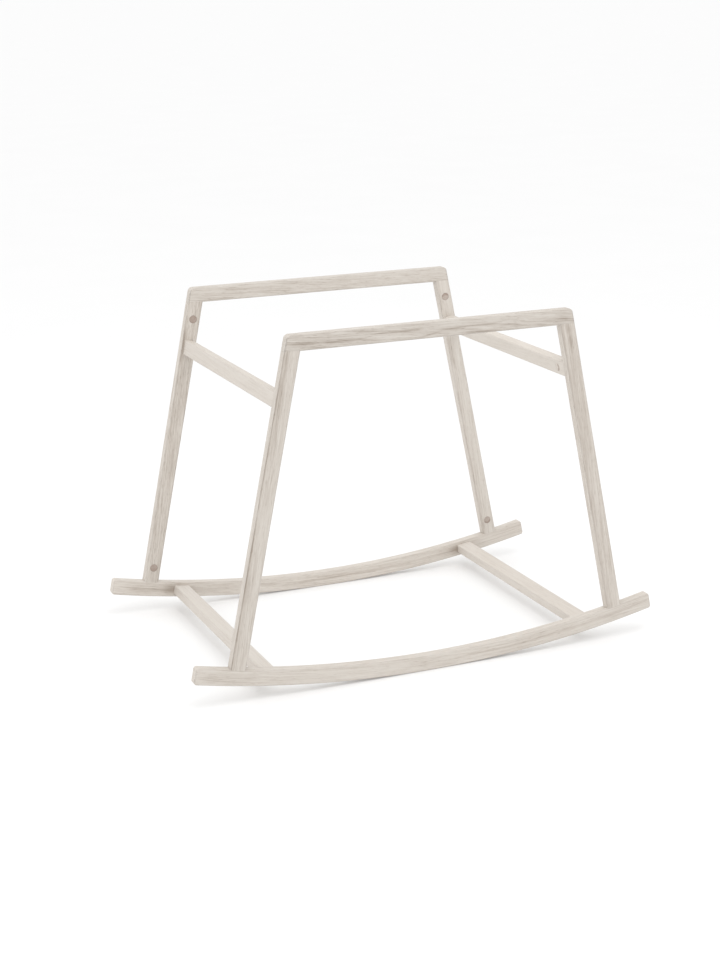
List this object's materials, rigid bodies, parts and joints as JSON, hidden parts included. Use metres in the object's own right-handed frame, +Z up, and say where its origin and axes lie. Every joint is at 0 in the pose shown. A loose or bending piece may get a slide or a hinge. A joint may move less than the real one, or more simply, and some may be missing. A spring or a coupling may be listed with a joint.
{
  "type": "baby cradle",
  "caption": "Wooden rocking stand for a baby basket: two curved-rocker side frames with leaning posts and top rails, joined by cross bars.",
  "frame": {"origin": "on the floor, midway between the side frames, at the middle of the rockers' rolling line", "axes": "+X along the rockers, +Y from the front side frame to the back one, +Z up"},
  "size_m": [0.8, 0.462, 0.5619],
  "materials": {
    "rocker_wood": "pale limed ash, satin",
    "post_wood": "pale limed ash, satin",
    "rail_wood": "pale limed ash, satin",
    "bar_wood": "pale limed ash, satin",
    "cap_plastic": "matt brown",
    "cam_zinc": "die-cast zinc",
    "bolt_zinc": "zinc plated",
    "dowel_wood": "raw beech"
  },
  "bodies": {
    "root": {"rocker_front": "rocker_wood", "rocker_back": "rocker_wood", "post_front_left": "post_wood", "post_front_right": "post_wood", "post_back_left": "post_wood", "post_back_right": "post_wood", "top_rail_front": "rail_wood", "top_rail_back": "rail_wood", "upper_bar_left": "bar_wood", "upper_bar_right": "bar_wood", "lower_bar_left": "bar_wood", "lower_bar_right": "bar_wood", "post_top_cams": "cam_zinc", "post_top_bolts": "bolt_zinc", "post_top_dowels": "dowel_wood", "post_top_caps": "cap_plastic", "post_foot_cams": "cam_zinc", "post_foot_bolts": "bolt_zinc", "post_foot_dowels": "dowel_wood", "post_foot_caps": "cap_plastic", "upper_bar_cams": "cam_zinc", "upper_bar_bolts": "bolt_zinc", "upper_bar_dowels": "dowel_wood", "upper_bar_caps": "cap_plastic", "lower_bar_cams": "cam_zinc", "lower_bar_bolts": "bolt_zinc", "lower_bar_dowels": "dowel_wood", "lower_bar_caps": "cap_plastic"}
  },
  "joints": []
}
